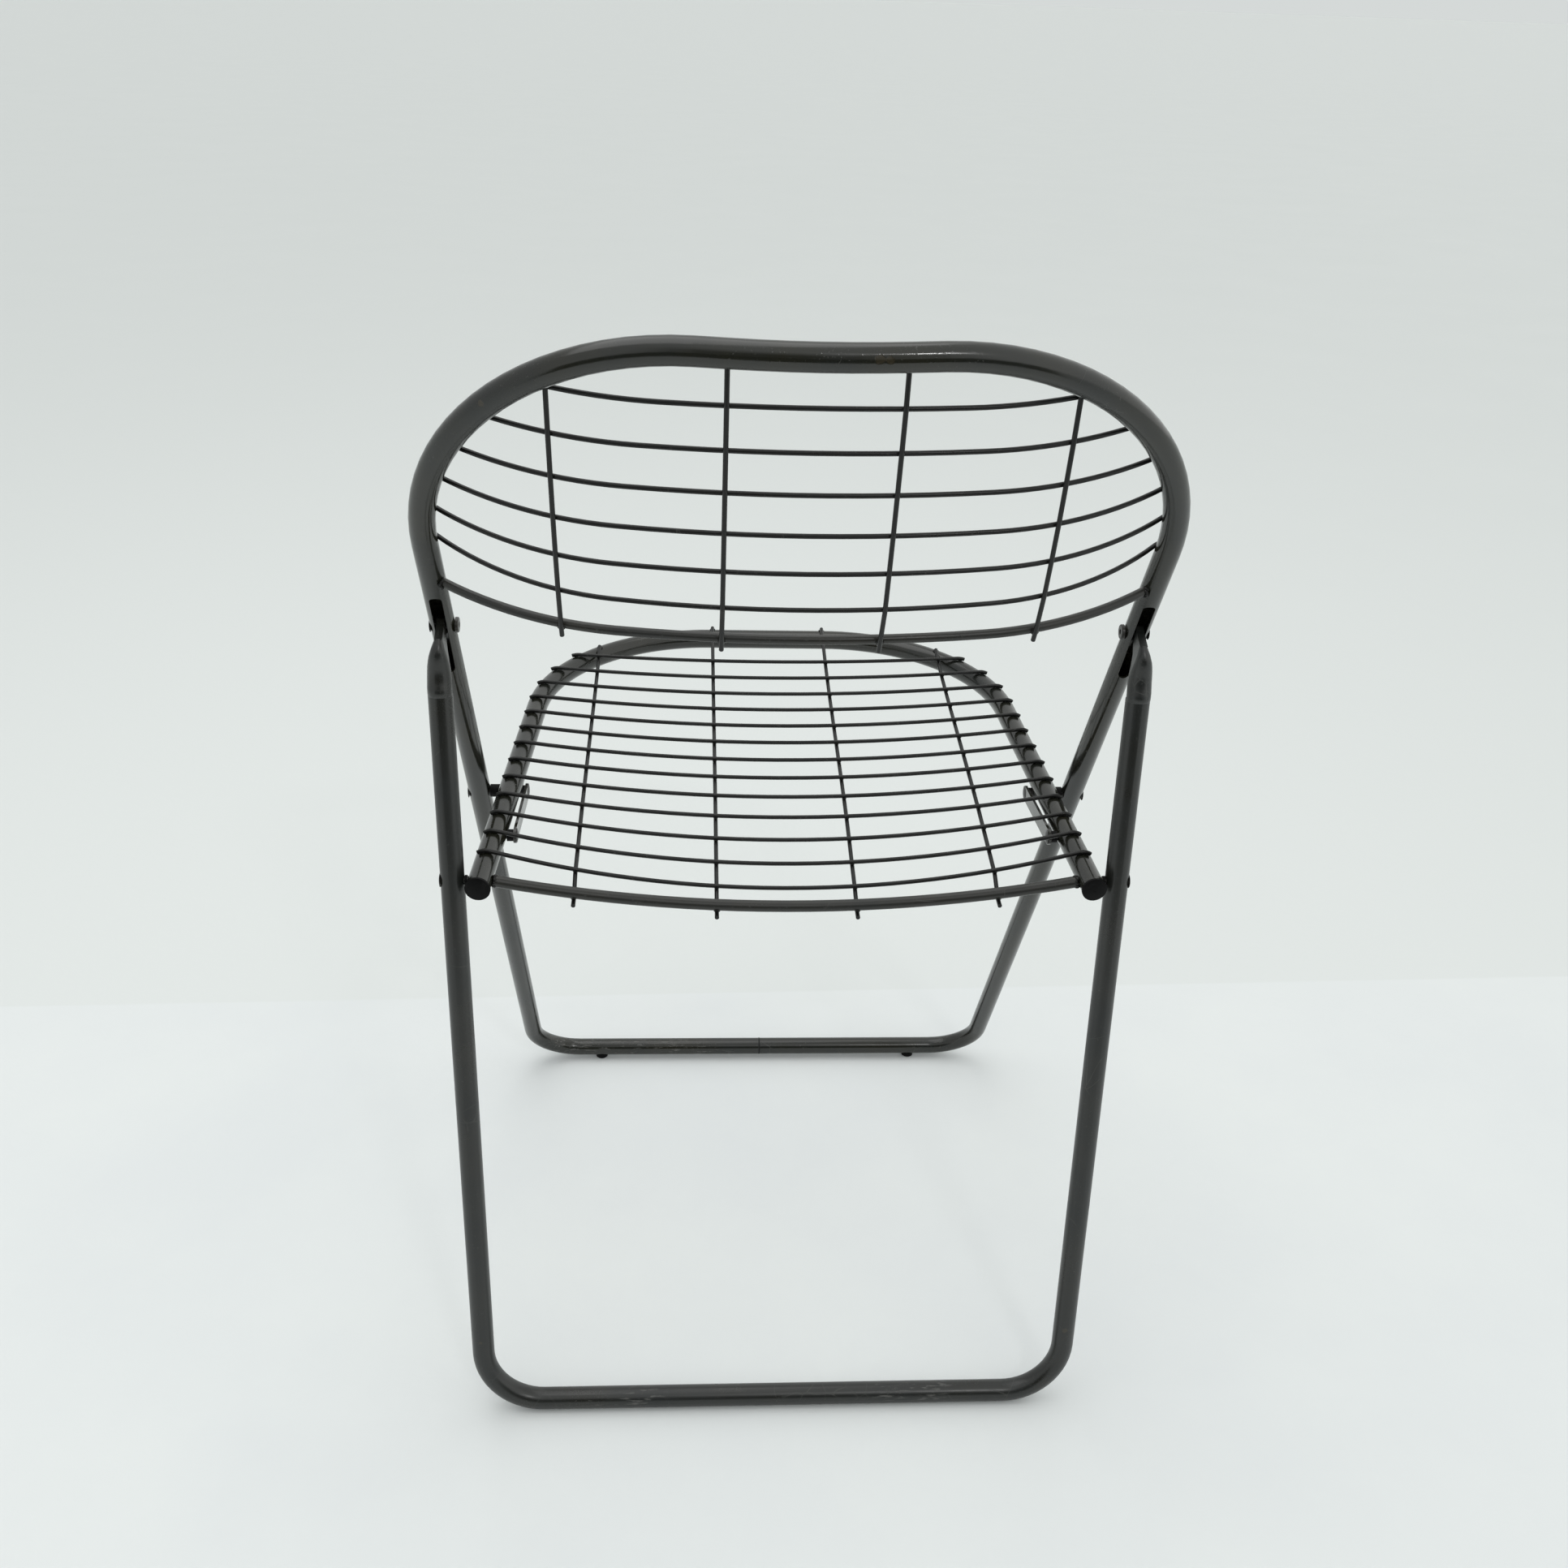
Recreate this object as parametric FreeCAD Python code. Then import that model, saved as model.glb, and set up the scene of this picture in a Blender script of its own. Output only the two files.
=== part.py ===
import FreeCAD, Part
import math
import os

V = FreeCAD.Vector

# Round tube used for the three bent frames
tube_radius = 8.0
tube_wall = 1.5
tube_bore = tube_radius - tube_wall
running_gap = 0.3
shaft_clearance = 0.05
weld_gap = 0.1

# Main frame: front legs and back loop in one leaning plane
glide_height = 3.0
pivot_height = 592.5
front_bar_forward = 337.2
pivot_half_width = 224.8
main_widening = 0.0095
floor_bend_radius = 44.0
loop_height = 239.0
loop_bend_radius = 160.0
loop_bow = 14.0
loop_bow_radius = 780.0

# Rear leg frame
rear_bar_back = 98.2
rear_bar_half_width = 217.2
rear_widening = 0.0159
seat_pivot_drop = 169.7
tongue_thickness = 5.0
tongue_width = 20.0
flattened_length = 37.0
tongue_reach = 4.0
tongue_tip = 5.7
slot_width = 8.0
slot_above = 35.0
slot_below = 40.0

# How far the leg top is pressed: part of the run, thinness, spread and lean at each section
pressing_steps = [
    (-0.04, 0.0, 0.0, 0.0),
    (0.25, 0.02, 0.0, 0.0),
    (0.5, 0.16, 0.1, -0.1),
    (0.75, 0.5, 0.5, -0.25),
    (0.9, 0.8, 0.9, 0.4),
    (1.0, 1.0, 1.0, 1.0),
]

# Seat frame
link_pin_drop = 196.7
link_pin_radius = 4.0
rail_half_width = 205.6
rail_narrowing = 0.064
rail_tail = 9.8
seat_depth = 381.0
seat_corner_radius = 140.0

# Mesh wires and bent rods
wire_radius = 1.5
wire_pitch = 25.4
seat_wire_lap = 5.5
back_wire_lap = 0.5
gentle_share = 0.5
seat_tightness = 1.0
back_tightness = 4.5
seat_first_wire = 21.0
seat_wire_sags = [30.2, 26.7, 23.0, 19.6, 17.4, 15.8, 14.6, 13.3, 12.1, 10.9, 9.5, 7.5, 4.8]
seat_rod_radius = 4.0
seat_rod_ahead = 1.5
seat_rod_bow = 22.3
back_rod_radius = 3.0
back_rod_height = 47.0
back_rod_bow = 46.2
back_first_wire = 76.5
back_wire_bows = [47.4, 41.4, 34.9, 27.6, 20.3, 12.4]
long_wire_spacing = [48.0, 144.5]
wire_nub = 3.0

# Pins, bushes, links, plugs and glides
rivet_radius = 2.5
rivet_head_radius = 5.0
rivet_head_height = 0.8
inner_head_height = 2.2
head_chamfer = 0.5
dimple_radius = 1.8
blind_end_inset = 2.0
blind_collar_length = 1.5
blind_collar_lip = 1.2
spacer_radius = 3.3
link_length_behind = 55.8
link_half_height = 5.5
link_thickness = 2.0
link_plane = 188.0
link_bush_radius = 4.75
rear_bush_radius = 4.2
plug_rim_radius = 8.6
plug_rim_height = 1.6
plug_dome_height = 1.2
plug_stem_length = 4.5
glide_radius = 5.6
glide_chamfer = 0.6
glide_stem_radius = 2.5
glide_stem_length = 7.0
glide_half_spacing = 154.0

# Leans and pivots worked out in the side view (forward, up)
front_bar_height = tube_radius + glide_height
main_lean = math.atan2(front_bar_forward, pivot_height - front_bar_height)
main_length = math.hypot(front_bar_forward, pivot_height - front_bar_height)
pivot_offset = 2 * tube_radius + running_gap
rear_reach = math.hypot(rear_bar_back, pivot_height - tube_radius)
rear_line = math.atan2(rear_bar_back, pivot_height - tube_radius)
rear_lean = rear_line - math.asin(pivot_offset / rear_reach)
rear_length = math.sqrt(rear_reach ** 2 - pivot_offset ** 2)
seat_pivot_forward = (rear_length - seat_pivot_drop) * math.sin(rear_lean) - rear_bar_back
seat_pivot_up = (rear_length - seat_pivot_drop) * math.cos(rear_lean) + tube_radius
link_pin_forward = link_pin_drop * math.sin(main_lean)
link_pin_up = pivot_height - link_pin_drop * math.cos(main_lean)
pin_run = link_pin_forward - seat_pivot_forward
pin_rise = link_pin_up - seat_pivot_up
rest_height = tube_radius + link_pin_radius + running_gap
seat_slope = math.atan2(pin_rise, pin_run) + math.asin(rest_height / math.hypot(pin_run, pin_rise))
loop_middle_bow = loop_bow - loop_bow_radius * (math.hypot(1, loop_bow / pivot_half_width) - 1)

# The outline is centred front to back on the origin
front_edge = seat_pivot_forward + seat_depth * math.cos(seat_slope) + tube_radius
back_edge = loop_height * math.sin(main_lean) + loop_middle_bow * math.cos(main_lean) + tube_radius
centre_forward = (front_edge - back_edge) / 2


def at(side, forward, up):
    return V(side, centre_forward - forward, up)


def on_main(side, along, behind):
    forward = -along * math.sin(main_lean) - behind * math.cos(main_lean)
    up = pivot_height + along * math.cos(main_lean) - behind * math.sin(main_lean)
    return at(side, forward, up)


def on_rear(side, along, ahead):
    forward = along * math.sin(rear_lean) + ahead * math.cos(rear_lean) - rear_bar_back
    up = tube_radius + along * math.cos(rear_lean) - ahead * math.sin(rear_lean)
    return at(side, forward, up)


def on_seat(side, along, above):
    forward = seat_pivot_forward + along * math.cos(seat_slope) - above * math.sin(seat_slope)
    up = seat_pivot_up + along * math.sin(seat_slope) + above * math.cos(seat_slope)
    return at(side, forward, up)


def main_half_width(along):
    return pivot_half_width + main_widening * along


def rear_half_width(along):
    return rear_bar_half_width + rear_widening * along


def rail_line(along):
    return rail_half_width - rail_narrowing * along


def arc_through(start, middle, end):
    return Part.Arc(start, middle, end).toShape()


def rounded_edges(points, radii):
    edges = []
    start = points[0]
    for index in range(1, len(points) - 1):
        corner = points[index]
        back = (points[index - 1] - corner).normalize()
        onward = (points[index + 1] - corner).normalize()
        half_angle = back.getAngle(onward) / 2
        setback = radii[index - 1] / math.tan(half_angle)
        inward = (back + onward).normalize()
        depth = radii[index - 1] / math.sin(half_angle) - radii[index - 1]
        first = corner + back * setback
        last = corner + onward * setback
        edges.append(Part.makeLine(start, first))
        edges.append(arc_through(first, corner + inward * depth, last))
        start = last
    edges.append(Part.makeLine(start, points[-1]))
    return edges


def round_bar(edges, radius):
    path = Part.Wire(edges)
    start = edges[0].valueAt(edges[0].FirstParameter)
    heading = edges[0].tangentAt(edges[0].FirstParameter)
    ring = Part.Wire(Part.makeCircle(radius, start, heading))
    return path.makePipeShell([ring], True, False)


def tube(edges):
    return round_bar(edges, tube_radius).cut(round_bar(edges, tube_bore))


def across(side_from, side_to, point, radius):
    start = V(side_from, point.y, point.z)
    return Part.makeCylinder(radius, side_to - side_from, start, V(1, 0, 0))


def mirrored(shape):
    return shape.mirror(V(0, 0, 0), V(1, 0, 0))


def save(name, shape):
    os.makedirs("parts", exist_ok=True)
    solids = shape.Solids
    body = solids[0] if len(solids) == 1 else Part.makeCompound(solids)
    body.exportStep("parts/" + name + ".step")


def save_pair(name, shape):
    save("left_" + name, shape)
    save("right_" + name, mirrored(shape))


# The loop's bend: its corner, how far back along each leg it starts, and its tilt backwards
def loop_arc():
    corner = main_half_width(loop_height)
    setback = loop_bend_radius / math.tan((math.pi / 2 - math.atan(main_widening)) / 2)
    return corner, setback, math.atan2(loop_bow, corner)


# Centre of the bent tube under a wire, and how far it is turned from square to the wire
def loop_crossing(along):
    corner, setback, tilt = loop_arc()
    turn = math.asin(max(-1.0, (along - loop_height) / loop_bend_radius + 1))
    if turn <= -math.atan(main_widening):
        return main_half_width(along), 0.0, 0.0
    inward = setback - loop_bend_radius * math.cos(turn)
    return corner - inward * math.cos(tilt), inward * math.sin(tilt), turn


def seat_arc():
    corner = rail_line(seat_depth)
    heading = math.atan(rail_narrowing)
    setback = seat_corner_radius / math.tan((math.pi / 2 + heading) / 2)
    return corner - setback, seat_depth - seat_corner_radius, heading


def rail_crossing(along):
    arc_side, arc_along, heading = seat_arc()
    turn = math.asin(max(0.0, along - arc_along) / seat_corner_radius)
    if turn <= heading:
        return rail_line(along), heading
    return arc_side + seat_corner_radius * math.cos(turn), turn


# A line bowed between two rounds. Each half is two arcs: the gentle one spans the middle, and the
# tighter one, whose radius is found by halving, meets the round it lies on without a corner.
class Bow:
    def __init__(self, half_span, lap_radius, lap_centre, middle, tightness, end):
        low = gentle_share * half_span / tightness
        high = 1000 * half_span
        for step in range(80):
            radius = math.sqrt(low * high)
            turn = math.asin(gentle_share * half_span / (tightness * radius))
            side = (tightness - 1) * radius * math.sin(turn)
            height = middle + radius + (tightness - 1) * radius * (1 - math.cos(turn))
            gap = math.hypot(half_span - side, height - lap_centre) - radius
            if gap > lap_radius:
                low = radius
            else:
                high = radius
        self.half_span, self.lap_radius, self.lap_centre, self.middle = half_span, lap_radius, lap_centre, middle
        self.radius, self.turn, self.side, self.level = radius, turn, side, height
        self.wide_radius = tightness * radius
        self.leave = math.atan2(half_span - side, height - lap_centre)
        self.end = end

    def tight(self, angle):
        return self.side + self.radius * math.sin(angle), self.level - self.radius * math.cos(angle)

    def lap(self, angle):
        side = self.half_span + self.lap_radius * math.sin(angle)
        return side, self.lap_centre + self.lap_radius * math.cos(angle)

    def height(self, side):
        if side <= self.tight(self.turn)[0]:
            return self.middle + self.wide_radius - math.sqrt(self.wide_radius ** 2 - side ** 2)
        if side <= self.half_span - self.lap_radius * math.sin(self.leave):
            return self.level - math.sqrt(self.radius ** 2 - (side - self.side) ** 2)
        return self.lap_centre + math.sqrt(self.lap_radius ** 2 - (self.half_span - side) ** 2)

    def edges(self, place):
        last = self.leave if self.lap_radius else self.leave - self.end
        arcs = [(self.tight, self.turn, last)]
        if self.lap_radius:
            arcs.append((self.lap, -self.leave, self.end))

        def arc(point, first, last, sign):
            points = [point(first), point((first + last) / 2), point(last)]
            if sign < 0:
                points.reverse()
            return arc_through(*[place(sign * side, height) for side, height in points])

        half = [arc(point, first, last, 1) for point, first, last in arcs]
        other_half = [arc(point, first, last, -1) for point, first, last in reversed(arcs)]
        low_side, low_height = self.tight(self.turn)
        middle_arc = arc_through(place(-low_side, low_height), place(0, self.middle), place(low_side, low_height))
        return other_half + [middle_arc] + half


# A wire laid over two tubes and hanging between them
def hung_wire(half_span, turn, middle, lap, tightness):
    top = tube_radius + wire_radius + weld_gap * (1 + 4 * math.sin(abs(turn)))
    lap_radius = top / math.cos(turn) ** 2
    return Bow(half_span, lap_radius, top - lap_radius, middle, tightness, lap / lap_radius)


def main_half_edges():
    low_corner = on_main(main_half_width(-main_length), -main_length, 0)
    high_corner = on_main(main_half_width(loop_height), loop_height, 0)
    top = on_main(0, loop_height, loop_bow)
    points = [on_main(0, -main_length, 0), low_corner, high_corner, top]
    edges = rounded_edges(points, [floor_bend_radius, loop_bend_radius])
    outward = (high_corner - top).normalize()
    opening = outward.getAngle(V(-outward.x, outward.y, outward.z)) / 2
    setback = loop_bow_radius / math.tan(opening)
    join = top + outward * setback
    depth = loop_bow_radius / math.sin(opening) - loop_bow_radius
    crown = top + on_main(0, 0, -depth) - on_main(0, 0, 0)
    whole = Part.Arc(join, crown, V(-join.x, join.y, join.z))
    last_line = edges.pop()
    edges.append(Part.makeLine(last_line.valueAt(last_line.FirstParameter), join))
    quarter = whole.FirstParameter + (whole.LastParameter - whole.FirstParameter) / 4
    edges.append(arc_through(join, whole.value(quarter), crown))
    return edges


def slot_cutter(side):
    straight = slot_above + slot_below - slot_width
    low = slot_width / 2 - slot_below
    ends = [on_main(side, low, tube_radius / 2), on_main(side, low + straight, tube_radius / 2)]
    behind = on_main(0, 0, 1) - on_main(0, 0, 0)
    up = on_main(0, 1, 0) - on_main(0, 0, 0)
    radius = slot_width / 2
    first = ends[0] - V(radius, 0, 0)
    second = ends[0] + V(radius, 0, 0)
    third = ends[1] + V(radius, 0, 0)
    fourth = ends[1] - V(radius, 0, 0)
    outline = Part.Wire([
        arc_through(first, ends[0] - up * radius, second),
        Part.makeLine(second, third),
        arc_through(third, ends[1] + up * radius, fourth),
        Part.makeLine(fourth, first),
    ])
    return Part.Face(outline).extrude(behind * tube_radius)


def make_main_frame():
    edges = main_half_edges()
    outside = round_bar(edges, tube_radius)
    inside = round_bar(edges, tube_bore)
    half = outside.cut(inside)
    pivot = on_main(0, 0, 0)
    pin = on_main(0, -link_pin_drop, 0)
    middle = pivot_half_width
    half = half.cut(slot_cutter(middle))
    half = half.cut(across(middle - 20, middle + 20, pivot, rivet_radius + shaft_clearance))
    half = half.cut(across(middle - 20, middle + 20, pin, link_pin_radius + shaft_clearance))
    glide_foot = on_main(glide_half_spacing, -main_length, 0)
    glide_foot.z = 0
    hole = Part.makeCylinder(glide_stem_radius + shaft_clearance, front_bar_height, glide_foot)
    half = half.cut(hole)
    return half.fuse(mirrored(half)).removeSplitter()


def stadium(centre, long_way, half_length, half_thickness):
    thin_way = V(1, 0, 0)
    straight = half_length - half_thickness
    low = centre - long_way * straight
    high = centre + long_way * straight
    first = low - thin_way * half_thickness
    second = low + thin_way * half_thickness
    third = high + thin_way * half_thickness
    fourth = high - thin_way * half_thickness
    return Part.Wire([
        arc_through(first, low - long_way * half_thickness, second),
        Part.makeLine(second, third),
        arc_through(third, high + long_way * half_thickness, fourth),
        Part.makeLine(fourth, first),
    ])


# The leg tube is pressed flat below the pivot and leans forward into the slot
def make_rear_leg_top():
    start = rear_length - tongue_reach - flattened_length
    forward_way = on_rear(0, 0, 1) - on_rear(0, 0, 0)
    shift = pivot_offset - tongue_width / 2 - tongue_thickness / 2 + weld_gap
    sections = []
    for run, pressed, spread, lean in pressing_steps:
        along = start + run * flattened_length
        side = rear_half_width(along) + (pivot_half_width - rear_half_width(along)) * pressed
        half_thickness = tube_radius - weld_gap + (tongue_thickness / 2 - tube_radius) * pressed
        half_length = tube_radius - weld_gap / 2 + (tongue_width / 2 - tube_radius) * spread
        sections.append(stadium(on_rear(side, along, shift * lean), forward_way, half_length, half_thickness))
    pressed_part = Part.makeLoft(sections, True, False)
    low = rear_length - tongue_reach - 0.5
    high = rear_length + tongue_tip
    corners = [
        (low, shift - tongue_width / 2),
        (low, shift + tongue_width / 2),
        (rear_length - tongue_tip, pivot_offset),
        (high, pivot_offset),
        (high, pivot_offset - tube_radius),
        (rear_length + tongue_tip / 2, pivot_offset - tube_radius - tongue_tip / 2),
    ]
    left = pivot_half_width - tongue_thickness / 2
    points = [on_rear(left, along, ahead) for along, ahead in corners]
    plate = Part.Face(Part.makePolygon(points + points[:1])).extrude(V(tongue_thickness, 0, 0))
    pivot = on_main(0, 0, 0)
    plate = plate.fuse(across(left, left + tongue_thickness, pivot, tongue_tip))
    hole = across(left - 1, left + tongue_thickness + 1, pivot, rivet_radius + shaft_clearance)
    return pressed_part.fuse(plate).cut(hole)


def make_rear_leg_frame():
    end = rear_length - tongue_reach - flattened_length
    points = [on_rear(0, 0, 0), on_rear(rear_half_width(0), 0, 0), on_rear(rear_half_width(end), end, 0)]
    edges = rounded_edges(points, [floor_bend_radius])
    half = tube(edges)
    seat_pivot = on_seat(0, 0, 0)
    middle = rear_half_width(rear_length - seat_pivot_drop)
    half = half.cut(across(middle - 20, middle + 20, seat_pivot, rivet_radius + shaft_clearance))
    half = half.fuse(make_rear_leg_top())
    return half.fuse(mirrored(half)).removeSplitter()


def make_seat_frame():
    points = [on_seat(rail_line(-rail_tail), -rail_tail, 0)]
    points.append(on_seat(rail_line(seat_depth), seat_depth, 0))
    points.append(on_seat(0, seat_depth, 0))
    half = tube(rounded_edges(points, [seat_corner_radius]))
    hole_radius = rivet_radius + shaft_clearance
    half = half.cut(across(rail_half_width, rail_half_width + 2 * tube_radius, on_seat(0, 0, 0), hole_radius))
    rear_middle = rail_line(link_length_behind)
    rear_point = on_seat(0, link_length_behind, 0)
    half = half.cut(across(rear_middle - 2 * tube_radius, rear_middle, rear_point, hole_radius))
    return half.fuse(mirrored(half)).removeSplitter()


# A rod bowed between two tubes and cut square just short of them
def rod_bow(half_span, middle, radius, tube_slant, tightness):
    bow = Bow(half_span, 0, 0, middle, tightness, 0)
    bow.end = (tube_radius + weld_gap + radius * tube_slant) / bow.radius
    return bow


def back_rod_shape():
    half_span = main_half_width(back_rod_height)
    return rod_bow(half_span, -back_rod_bow, back_rod_radius, main_widening, back_tightness)


def make_back_rod():
    edges = back_rod_shape().edges(lambda side, height: on_main(side, back_rod_height, -height))
    return round_bar(edges, back_rod_radius)


def seat_rod_shape():
    half_span = rail_line(seat_rod_ahead)
    return rod_bow(half_span, -seat_rod_bow, seat_rod_radius, rail_narrowing, seat_tightness)


def make_seat_rod():
    edges = seat_rod_shape().edges(lambda side, height: on_seat(side, seat_rod_ahead, height))
    return round_bar(edges, seat_rod_radius)


def seat_wire_shape(index):
    along = seat_first_wire + wire_pitch * index
    half_span, turn = rail_crossing(along)
    middle = tube_radius + wire_radius + weld_gap - seat_wire_sags[index]
    return along, hung_wire(half_span, turn, middle, seat_wire_lap, seat_tightness)


def make_seat_cross_wire(index):
    along, bow = seat_wire_shape(index)
    return round_bar(bow.edges(lambda side, height: on_seat(side, along, height)), wire_radius)


def back_wire_shape(index):
    along = back_first_wire + wire_pitch * index
    half_span, behind, turn = loop_crossing(along)
    middle = behind - back_wire_bows[index]
    return along, behind, hung_wire(half_span, turn, middle, back_wire_lap, back_tightness)


def make_back_cross_wire(index):
    along, behind, bow = back_wire_shape(index)
    return round_bar(bow.edges(lambda side, height: on_main(side, along, behind - height)), wire_radius)


# Straight way from a point to just past where it meets a round of the given radius
def over_the_top(start, centre, reach, past):
    run = centre[0] - start[0]
    rise = centre[1] - start[1]
    distance = math.hypot(run, rise)
    angle = math.atan2(rise, run) + math.asin(reach / distance)
    length = math.sqrt(distance ** 2 - reach ** 2) + past
    return start[0] + length * math.cos(angle), start[1] + length * math.sin(angle)


# Shifts a run of wire centres square to their own line, to lie against another wire
def beside(points, distance):
    shifted = []
    for index, point in enumerate(points):
        before = points[max(index - 1, 0)]
        after = points[min(index + 1, len(points) - 1)]
        run = after[0] - before[0]
        rise = after[1] - before[1]
        length = math.hypot(run, rise)
        shifted.append((point[0] - distance * rise / length, point[1] + distance * run / length))
    return shifted


def gentle(points, place):
    corners = [place(along, height) for along, height in points]
    return rounded_edges(corners, [12.0] * (len(points) - 2))


def make_seat_long_wire(side):
    below = 2 * wire_radius + 2 * weld_gap
    under_rod = seat_rod_shape().height(side) - seat_rod_radius - wire_radius - 3 * weld_gap
    points = [(seat_rod_ahead - seat_rod_radius - wire_nub, under_rod), (seat_rod_ahead + 1, under_rod)]
    crossings = []
    for index in range(len(seat_wire_sags)):
        along, bow = seat_wire_shape(index)
        crossings.append((along, bow.height(side)))
    points += beside(crossings, -below)
    arc_side, arc_along, heading = seat_arc()
    turn = math.acos(max(0.0, side - arc_side) / seat_corner_radius)
    tube_along = arc_along + seat_corner_radius * math.sin(turn)
    top = tube_radius + wire_radius + weld_gap
    reach = top / math.sin(turn) ** 2
    centre = (tube_along, top - reach)
    points.append(over_the_top(points[-1], centre, reach, wire_nub))
    return round_bar(gentle(points, lambda along, height: on_seat(side, along, height)), wire_radius)


def make_back_upright(side):
    clear = 2 * wire_radius + 2 * weld_gap
    past_rod = back_rod_radius + wire_radius + 2 * weld_gap - back_rod_shape().height(side)
    points = [(back_rod_height - back_rod_radius - wire_nub, past_rod), (back_rod_height + 2, past_rod)]
    crossings = []
    for index in range(len(back_wire_bows)):
        along, behind, bow = back_wire_shape(index)
        crossings.append((along, behind - bow.height(side)))
    points += beside(crossings, clear)
    corner, setback, tilt = loop_arc()
    if side < corner - setback:
        centre = (loop_height, -loop_bow * (1 - side / corner))
        start = (points[-1][0], -points[-1][1])
        end = over_the_top(start, centre, tube_radius + wire_radius + weld_gap, wire_nub)
        points.append((end[0], -end[1]))
    else:
        inner_edge = loop_bend_radius - tube_radius - weld_gap
        from_centre = setback - (corner - side - wire_radius) / math.cos(tilt)
        top = loop_height - loop_bend_radius + math.sqrt(inner_edge ** 2 - from_centre ** 2)
        last = points.pop()
        slope = (last[1] - points[-1][1]) / (last[0] - points[-1][0])
        points.append((top, last[1] + slope * (top - last[0])))
    return round_bar(gentle(points, lambda along, depth: on_main(side, along, depth)), wire_radius)


def dome(base, way, radius, height):
    bulge = (radius ** 2 + height ** 2) / (2 * height)
    centre = base + way * (height - bulge)
    outward = way.cross(V(0, 0, 1)).normalize()
    half_way = math.asin(radius / bulge) / 2
    middle = centre + way * (bulge * math.cos(half_way)) + outward * (bulge * math.sin(half_way))
    rim = base + outward * radius
    top = base + way * height
    outline = Part.Wire([Part.makeLine(base, rim), arc_through(rim, middle, top), Part.makeLine(top, base)])
    return Part.Face(outline).revolve(base, way, 360)


def side_dome(side, point, radius, height, way):
    return dome(V(side, point.y, point.z), V(way, 0, 0), radius, height)


def make_leg_pivot_rivet():
    point = on_main(0, 0, 0)
    inner = pivot_half_width - tube_radius - weld_gap
    outer = pivot_half_width + tube_radius + weld_gap
    shank = across(inner - 1, outer + 0.5, point, rivet_radius)
    head = across(inner - inner_head_height, inner, point, rivet_head_radius)
    head = head.makeChamfer(head_chamfer, [min(head.Edges, key=lambda edge: edge.CenterOfMass.x)])
    dimple = across(inner - inner_head_height - 1, inner - inner_head_height / 3, point, dimple_radius)
    outer_head = side_dome(outer, point, rivet_head_radius, rivet_head_height, 1)
    return head.fuse(shank).fuse(outer_head).cut(dimple)


def make_seat_pivot_rivet():
    point = on_seat(0, 0, 0)
    leg_side = rear_half_width(rear_length - seat_pivot_drop)
    outer = leg_side + tube_radius + 1.5 * weld_gap
    stop = rail_half_width + blind_end_inset
    shank = across(stop, outer + 0.5, point, rivet_radius)
    collar = across(stop, stop + blind_collar_length, point, rivet_radius + blind_collar_lip)
    head = side_dome(outer, point, rivet_head_radius, rivet_head_height, 1)
    return shank.fuse(collar).fuse(head)


def make_seat_pivot_spacer():
    point = on_seat(0, 0, 0)
    leg_side = rear_half_width(rear_length - seat_pivot_drop)
    inner = rail_half_width + tube_radius + rail_narrowing * spacer_radius + running_gap
    outer = leg_side - tube_radius - rear_widening * spacer_radius - weld_gap
    ring = across(inner, outer, point, spacer_radius)
    return ring.cut(across(inner - 1, outer + 1, point, rivet_radius + shaft_clearance))


def make_link_front_pin():
    point = on_main(0, -link_pin_drop, 0)
    main_side = main_half_width(-link_pin_drop)
    inner = link_plane + link_thickness / 2 + running_gap
    body = across(inner, main_side + tube_radius + 0.5, point, link_pin_radius)
    outer = main_side + tube_radius + weld_gap
    return body.fuse(side_dome(outer, point, rivet_head_radius + 0.5, rivet_head_height, 1))


def make_link_front_rivet():
    point = on_main(0, -link_pin_drop, 0)
    inner = link_plane - link_thickness / 2 - weld_gap
    shank = across(inner - 0.5, link_plane + link_thickness / 2, point, rivet_radius)
    return shank.fuse(side_dome(inner, point, rivet_head_radius, rivet_head_height, -1))


def make_link_front_bush():
    point = on_main(0, -link_pin_drop, 0)
    pin_along = pin_run * math.cos(seat_slope) + pin_rise * math.sin(seat_slope)
    inner = rail_line(pin_along) + tube_radius + running_gap + rail_narrowing * link_bush_radius
    outer = main_half_width(-link_pin_drop) - tube_radius - weld_gap
    sleeve = across(inner, outer, point, link_bush_radius)
    return sleeve.cut(across(inner - 1, outer + 1, point, link_pin_radius + shaft_clearance))


def make_seat_link():
    front = on_main(0, -link_pin_drop, 0)
    rear = on_seat(0, link_length_behind, 0)
    low_side = link_plane - link_thickness / 2
    way = (rear - front).normalize()
    long_wire = stadium_upright(front, rear, way, low_side)
    plate = Part.Face(long_wire).extrude(V(link_thickness, 0, 0))
    plate = plate.cut(across(low_side - 1, low_side + 5, front, rivet_radius + shaft_clearance))
    return plate.cut(across(low_side - 1, low_side + 5, rear, rivet_radius + shaft_clearance))


def stadium_upright(front, rear, way, side):
    over = V(0, -way.z, way.y) * link_half_height
    shift = V(side, 0, 0)
    first = front + shift - over
    second = rear + shift - over
    third = rear + shift + over
    fourth = front + shift + over
    return Part.Wire([
        Part.makeLine(first, second),
        arc_through(second, rear + shift + way * link_half_height, third),
        Part.makeLine(third, fourth),
        arc_through(fourth, front + shift - way * link_half_height, first),
    ])


def make_link_rear_rivet():
    point = on_seat(0, link_length_behind, 0)
    inner = link_plane - link_thickness / 2 - running_gap
    stop = rail_line(link_length_behind) - blind_end_inset
    shank = across(inner - 0.5, stop, point, rivet_radius)
    collar = across(stop - blind_collar_length, stop, point, rivet_radius + blind_collar_lip)
    return shank.fuse(collar).fuse(side_dome(inner, point, rivet_head_radius, rivet_head_height, -1))


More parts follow.
